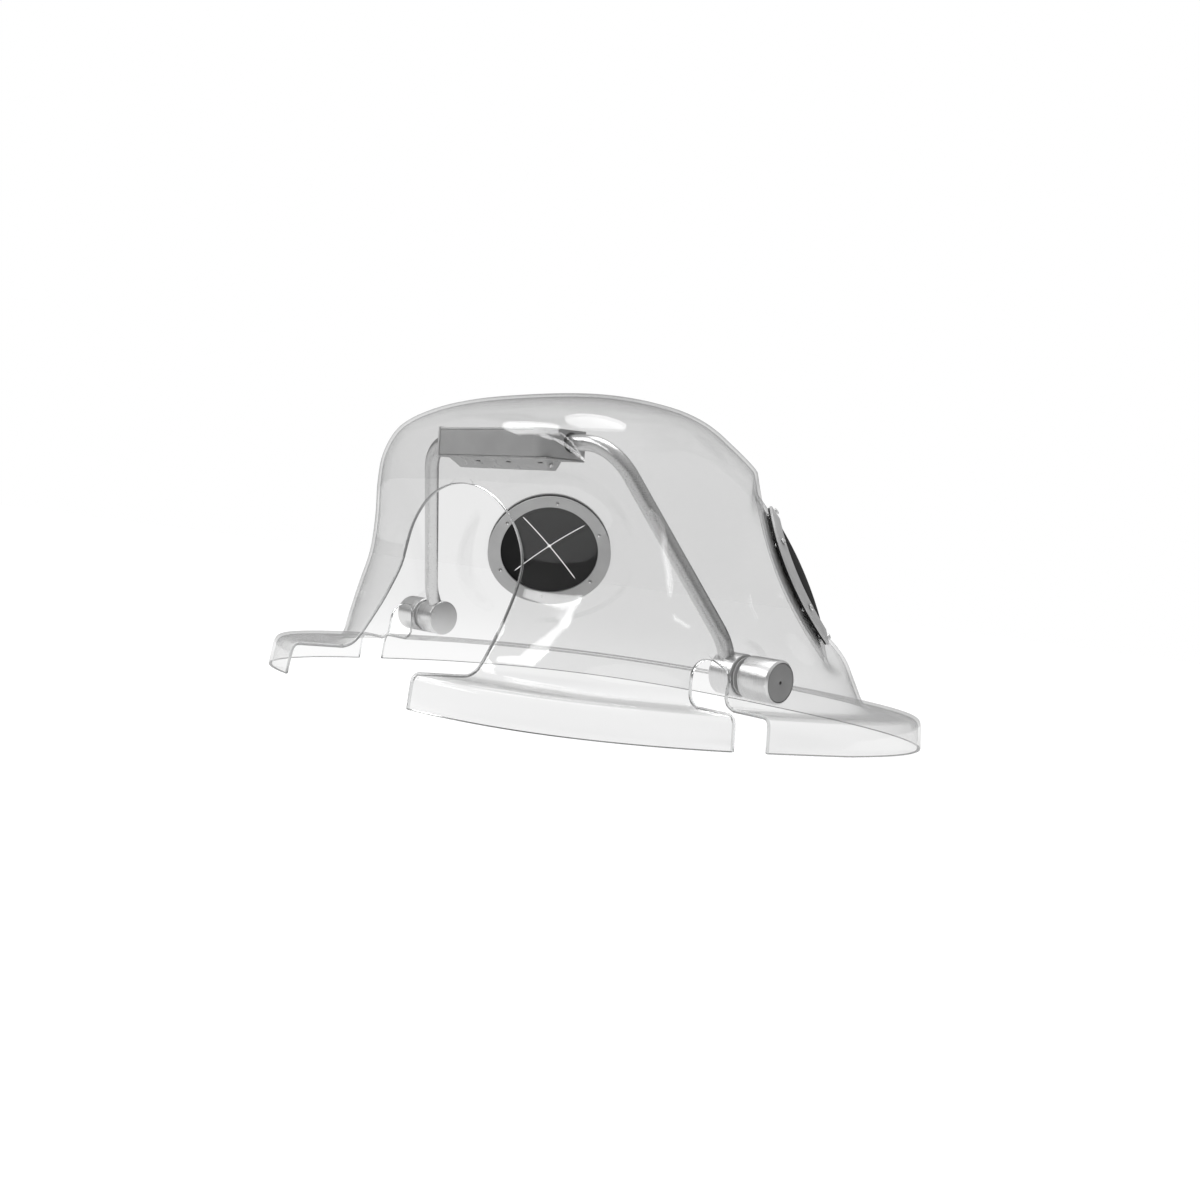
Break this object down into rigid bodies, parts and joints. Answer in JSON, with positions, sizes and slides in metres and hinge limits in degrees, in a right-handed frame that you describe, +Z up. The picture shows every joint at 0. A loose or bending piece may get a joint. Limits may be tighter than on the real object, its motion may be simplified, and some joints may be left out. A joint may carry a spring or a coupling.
{
  "type": "clear containment hood",
  "caption": "Clear bell-shaped containment hood with an arched front opening, side tubing notches, slit-membrane hand ports and a lamp on a swinging tubular bail.",
  "frame": {"origin": "on the ground, in the middle of the skirt's plan", "axes": "+X to the right seen from the front opening, +Y towards the closed rear, +Z up"},
  "size_m": [0.7994, 0.7869, 0.401],
  "materials": {
    "clear_plastic": "clear moulded sheet, polished",
    "ring_grey": "satin mid grey",
    "membrane_rubber": "matt black sheet",
    "screw_steel": "bright steel",
    "nylon_washer": "natural white",
    "satin_aluminium": "satin, turned and brushed",
    "dark_grey_metal": "dark grey, matt",
    "dark_plastic": "dark, matt",
    "housing_grey": "moulded mid grey, satin",
    "cover_light_grey": "light grey, satin",
    "window_grey": "smoked grey",
    "board_white": "white",
    "lamp_cream": "cream lens"
  },
  "bodies": {
    "hood": {"hood_shell": "clear_plastic", "right_port_outer_ring": "ring_grey", "left_port_outer_ring": "ring_grey", "right_port_inner_ring": "ring_grey", "left_port_inner_ring": "ring_grey", "right_membrane_rim": "membrane_rubber", "left_membrane_rim": "membrane_rubber", "right_port_screw_1": "screw_steel", "right_port_screw_2": "screw_steel", "right_port_screw_3": "screw_steel", "right_port_screw_4": "screw_steel", "right_port_screw_5": "screw_steel", "right_port_screw_6": "screw_steel", "left_port_screw_1": "screw_steel", "left_port_screw_2": "screw_steel", "left_port_screw_3": "screw_steel", "left_port_screw_4": "screw_steel", "left_port_screw_5": "screw_steel", "left_port_screw_6": "screw_steel", "right_wall_bush": "nylon_washer", "left_wall_bush": "nylon_washer", "right_outer_washer": "nylon_washer", "left_outer_washer": "nylon_washer"},
    "bail": {"bail_tube": "satin_aluminium", "right_inner_barrel": "satin_aluminium", "left_inner_barrel": "satin_aluminium", "right_axle_stud": "screw_steel", "left_axle_stud": "screw_steel", "right_inner_washer": "nylon_washer", "left_inner_washer": "nylon_washer"},
    "lamp_head": {"lamp_housing": "housing_grey", "housing_cover": "cover_light_grey", "right_end_cap": "housing_grey", "left_end_plate": "cover_light_grey", "lamp_window": "window_grey", "lamp_board": "board_white", "lamp_1": "lamp_cream", "lamp_2": "lamp_cream", "lamp_3": "lamp_cream", "cover_screw_1": "screw_steel", "cover_screw_2": "screw_steel", "window_screw": "screw_steel", "right_tilt_bush": "dark_plastic", "left_tilt_bush": "dark_plastic"},
    "right_knob": {"right_clamp_knob": "satin_aluminium", "right_knob_end_disc": "dark_grey_metal"},
    "left_knob": {"left_clamp_knob": "satin_aluminium", "left_knob_end_disc": "dark_grey_metal"},
    "right_flap_1_body": {"right_flap_1": "membrane_rubber"},
    "right_flap_2_body": {"right_flap_2": "membrane_rubber"},
    "right_flap_3_body": {"right_flap_3": "membrane_rubber"},
    "right_flap_4_body": {"right_flap_4": "membrane_rubber"},
    "left_flap_1_body": {"left_flap_1": "membrane_rubber"},
    "left_flap_2_body": {"left_flap_2": "membrane_rubber"},
    "left_flap_3_body": {"left_flap_3": "membrane_rubber"},
    "left_flap_4_body": {"left_flap_4": "membrane_rubber"}
  },
  "joints": [
    {"name": "bail_swing", "type": "hinge", "parent": "hood", "child": "bail", "pos_m": [0, -0.064, 0.076], "axis": [-1, 0, 0], "range_deg": [-3, 16]},
    {"name": "lamp_tilt", "type": "hinge", "parent": "bail", "child": "lamp_head", "pos_m": [0, -0.1931, 0.31881], "axis": [1, 0, 0], "range_deg": [-12, 35]},
    {"name": "right_knob_turn", "type": "hinge", "parent": "bail", "child": "right_knob", "pos_m": [0.338, -0.064, 0.076], "axis": [1, 0, 0], "range_deg": [0, 180]},
    {"name": "left_knob_turn", "type": "hinge", "parent": "bail", "child": "left_knob", "pos_m": [-0.338, -0.064, 0.076], "axis": [-1, 0, 0], "range_deg": [0, 180]},
    {"name": "right_flap_1_bend", "type": "hinge", "parent": "hood", "child": "right_flap_1_body", "pos_m": [0.21178, 0.13419, 0.20079], "axis": [0.3994, 0.3007, -0.8661], "range_deg": [0, 60], "stiffness_Nm_per_rad": 0.05},
    {"name": "right_flap_2_bend", "type": "hinge", "parent": "hood", "child": "right_flap_2_body", "pos_m": [0.22178, 0.07977, 0.24366], "axis": [-0.6015, 0.7989, 0], "range_deg": [0, 60], "stiffness_Nm_per_rad": 0.05},
    {"name": "right_flap_3_bend", "type": "hinge", "parent": "hood", "child": "right_flap_3_body", "pos_m": [0.27132, 0.05511, 0.20079], "axis": [-0.3994, -0.3007, 0.8661], "range_deg": [0, 60], "stiffness_Nm_per_rad": 0.05},
    {"name": "right_flap_4_bend", "type": "hinge", "parent": "hood", "child": "right_flap_4_body", "pos_m": [0.26132, 0.10953, 0.15792], "axis": [0.6015, -0.7989, 0], "range_deg": [0, 60], "stiffness_Nm_per_rad": 0.05},
    {"name": "left_flap_1_bend", "type": "hinge", "parent": "hood", "child": "left_flap_1_body", "pos_m": [-0.21178, 0.13419, 0.20079], "axis": [0.3994, -0.3007, 0.8661], "range_deg": [0, 60], "stiffness_Nm_per_rad": 0.05},
    {"name": "left_flap_2_bend", "type": "hinge", "parent": "hood", "child": "left_flap_2_body", "pos_m": [-0.22178, 0.07977, 0.24366], "axis": [-0.6015, -0.7989, 0], "range_deg": [0, 60], "stiffness_Nm_per_rad": 0.05},
    {"name": "left_flap_3_bend", "type": "hinge", "parent": "hood", "child": "left_flap_3_body", "pos_m": [-0.27132, 0.05511, 0.20079], "axis": [-0.3994, 0.3007, -0.8661], "range_deg": [0, 60], "stiffness_Nm_per_rad": 0.05},
    {"name": "left_flap_4_bend", "type": "hinge", "parent": "hood", "child": "left_flap_4_body", "pos_m": [-0.26132, 0.10953, 0.15792], "axis": [0.6015, 0.7989, 0], "range_deg": [0, 60], "stiffness_Nm_per_rad": 0.05}
  ],
  "couplings": [
    {"joint": "right_flap_2_bend", "follows": "right_flap_1_bend", "ratio": 1},
    {"joint": "right_flap_3_bend", "follows": "right_flap_1_bend", "ratio": 1},
    {"joint": "right_flap_4_bend", "follows": "right_flap_1_bend", "ratio": 1},
    {"joint": "left_flap_2_bend", "follows": "left_flap_1_bend", "ratio": 1},
    {"joint": "left_flap_3_bend", "follows": "left_flap_1_bend", "ratio": 1},
    {"joint": "left_flap_4_bend", "follows": "left_flap_1_bend", "ratio": 1}
  ]
}
